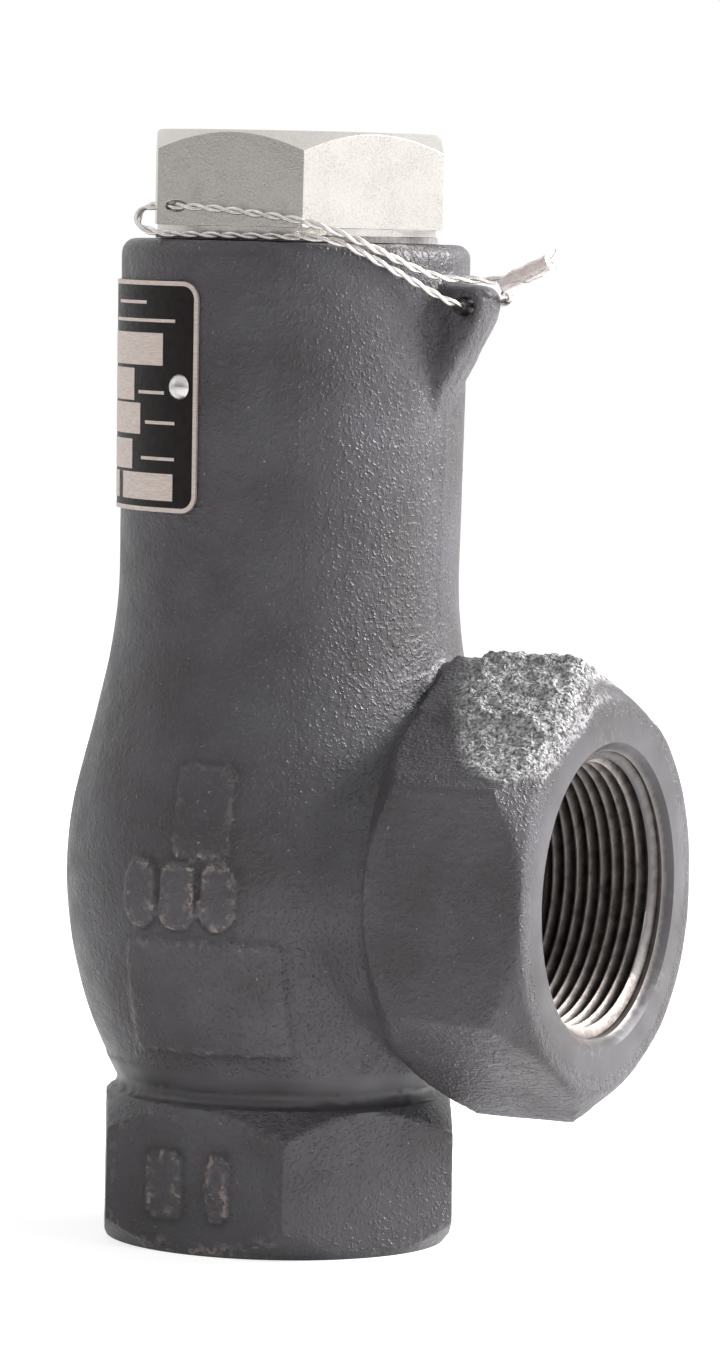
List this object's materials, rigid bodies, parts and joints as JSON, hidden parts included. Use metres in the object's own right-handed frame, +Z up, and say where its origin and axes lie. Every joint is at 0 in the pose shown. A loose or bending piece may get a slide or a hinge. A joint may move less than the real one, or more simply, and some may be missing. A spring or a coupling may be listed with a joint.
{
  "type": "safety relief valve",
  "caption": "Angle-pattern spring-loaded safety relief valve with threaded inlet and outlet, sealed cap over its adjuster, and a wire seal.",
  "frame": {"origin": "centre of the inlet face, at the mouth of the inlet thread", "axes": "+Z up through the housing to the cap, +X out of the outlet"},
  "size_m": [0.0987, 0.0747, 0.188],
  "materials": {
    "casting": "satin dark grey paint over a sand casting",
    "stainless": "turned",
    "soft_seat": "smooth",
    "spring_steel": "oiled",
    "bronze": "turned",
    "plain_steel": "turned",
    "ball_steel": "polished",
    "zinc_steel": "dull zinc plate",
    "gasket": "matt",
    "plate": "satin with a black printed ground",
    "wire": "twisted galvanised",
    "ferrule": "crimped"
  },
  "bodies": {
    "valve_body": {"body": "casting", "nozzle": "stainless", "guide_sleeve": "bronze", "spring": "spring_steel", "cap": "zinc_steel", "cap_gasket": "gasket", "nameplate": "plate", "nameplate_screws": "stainless", "seal_wire": "wire", "seal_ferrule": "ferrule"},
    "lift_group": {"disc_holder": "stainless", "seat_disc": "soft_seat", "disc_washer": "stainless", "disc_screw": "stainless", "stem": "stainless", "stem_pin": "stainless", "stem_clip": "spring_steel", "lower_spring_plate": "plain_steel"},
    "spring_seat": {"upper_spring_plate": "plain_steel", "thrust_ball": "ball_steel"},
    "adjuster": {"adjusting_gland": "zinc_steel"}
  },
  "joints": [
    {"name": "disc_lift", "type": "slide", "parent": "valve_body", "child": "lift_group", "axis": [0, 0, 1], "range_m": [0, 0.005], "stiffness_N_per_m": 25900, "springref_m": -0.00958, "deforming": ["spring"]},
    {"name": "spring_seat_travel", "type": "slide", "parent": "valve_body", "child": "spring_seat", "axis": [0, 0, -1], "range_m": [0, 0.0045], "deforming": ["spring"]},
    {"name": "gland_turn", "type": "hinge", "parent": "spring_seat", "child": "adjuster", "pos_m": [0, 0, 0.1524], "axis": [0, 0, -1], "range_deg": [0, 1080]}
  ],
  "couplings": [
    {"joint": "gland_turn", "follows": "spring_seat_travel", "rad_per_m": 4188.8}
  ]
}
